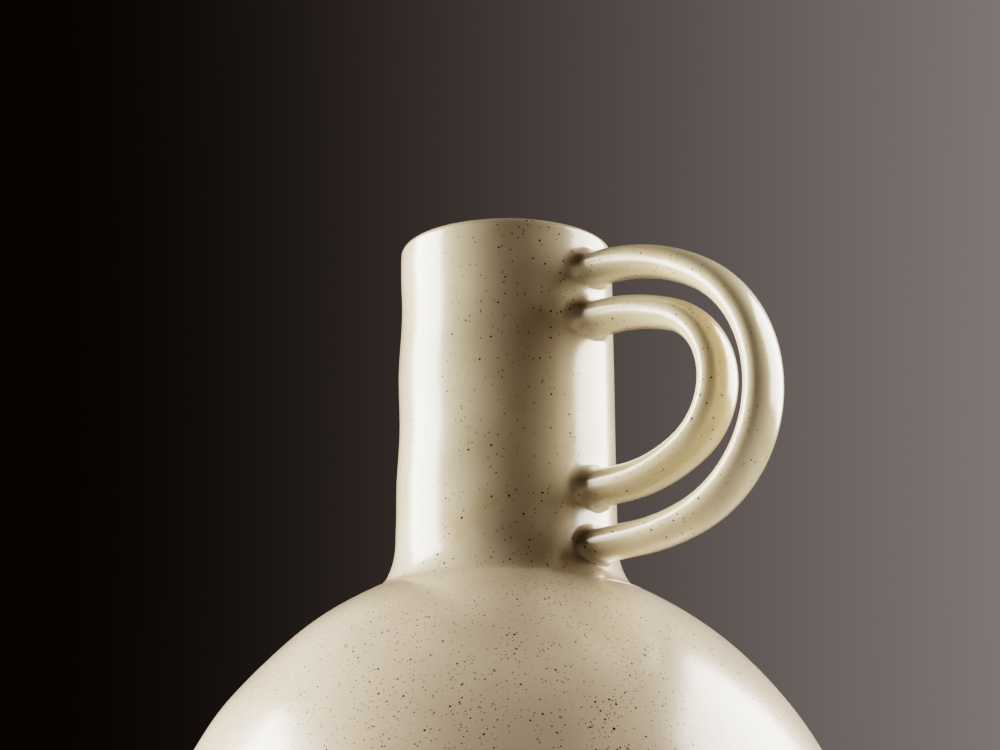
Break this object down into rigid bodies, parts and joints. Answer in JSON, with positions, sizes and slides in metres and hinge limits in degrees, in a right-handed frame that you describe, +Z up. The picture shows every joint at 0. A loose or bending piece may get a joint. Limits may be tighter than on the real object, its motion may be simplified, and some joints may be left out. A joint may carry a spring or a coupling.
{
  "type": "pottery vase",
  "caption": "Round-bodied glazed stoneware vase with a tall straight neck and concentric loop handles on one side.",
  "frame": {"origin": "centre of the foot ring's resting face, on the vase's axis", "axes": "+Z up along the thrown axis, out of the mouth; +X towards the side that carries the handles; the handles lie in the XZ plane"},
  "size_m": [0.297, 0.297, 0.4445],
  "materials": {
    "glaze": "satin cream glaze with fine dark iron speckles",
    "bare_clay": "unglazed buff stoneware, matte"
  },
  "bodies": {
    "root": {"globe": "glaze", "foot_ring": "bare_clay", "neck": "glaze", "neck_slip": "glaze", "handle_outer": "glaze", "handle_inner": "glaze", "slip_outer_top": "glaze", "slip_outer_bottom": "glaze", "slip_inner_top": "glaze", "slip_inner_bottom": "glaze"}
  },
  "joints": []
}
